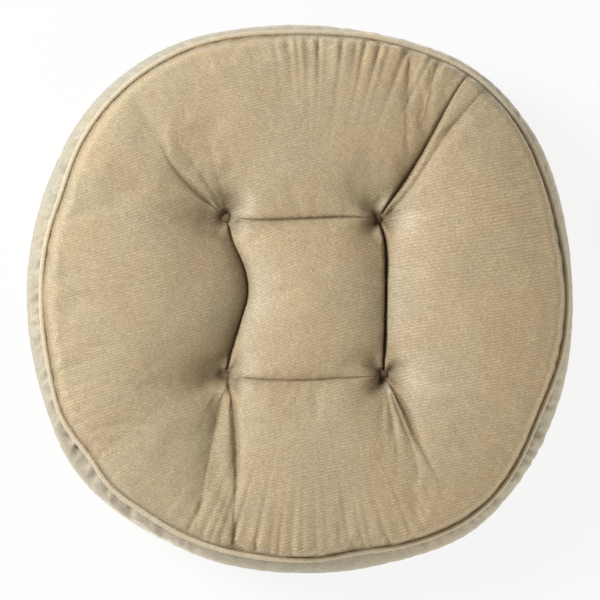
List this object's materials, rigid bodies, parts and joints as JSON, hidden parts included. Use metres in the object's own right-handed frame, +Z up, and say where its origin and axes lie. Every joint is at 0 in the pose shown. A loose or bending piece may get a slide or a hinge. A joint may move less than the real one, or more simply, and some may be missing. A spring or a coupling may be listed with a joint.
{
  "type": "chair seat pad",
  "caption": "Round-square overstuffed chair seat pad in tan ribbed velvet, with a boxed and piped edge and small covered buttons that tuft its top.",
  "frame": {"origin": "centre of the pad's outline, in the plane that its underside rests on", "axes": "+Z up through the pad, from the underside to the tufted top; +X to the pad's right and +Y to its back"},
  "size_m": [0.4072, 0.4072, 0.09],
  "materials": {
    "velvet": "matte",
    "underside_cloth": "matte",
    "piping_cord": "matte",
    "fibre": "matte",
    "button_metal": "satin",
    "twine": "matte"
  },
  "bodies": {
    "root": {"top_panel": "velvet", "boxing_band": "velvet", "bottom_panel": "underside_cloth", "fibre_fill": "fibre", "top_welt_cover": "velvet", "top_welt_cord": "piping_cord", "top_button_1_cover": "velvet", "top_button_1_shell": "button_metal", "top_button_1_back": "button_metal", "top_button_2_cover": "velvet", "top_button_2_shell": "button_metal", "top_button_2_back": "button_metal", "top_button_3_cover": "velvet", "top_button_3_shell": "button_metal", "top_button_3_back": "button_metal", "top_button_4_cover": "velvet", "top_button_4_shell": "button_metal", "top_button_4_back": "button_metal", "bottom_welt_cover": "velvet", "bottom_welt_cord": "piping_cord", "bottom_button_1_cover": "velvet", "bottom_button_1_shell": "button_metal", "bottom_button_1_back": "button_metal", "bottom_button_2_cover": "velvet", "bottom_button_2_shell": "button_metal", "bottom_button_2_back": "button_metal", "bottom_button_3_cover": "velvet", "bottom_button_3_shell": "button_metal", "bottom_button_3_back": "button_metal", "bottom_button_4_cover": "velvet", "bottom_button_4_shell": "button_metal", "bottom_button_4_back": "button_metal", "tufting_twine_1": "twine", "tufting_twine_2": "twine", "tufting_twine_3": "twine", "tufting_twine_4": "twine"}
  },
  "joints": []
}
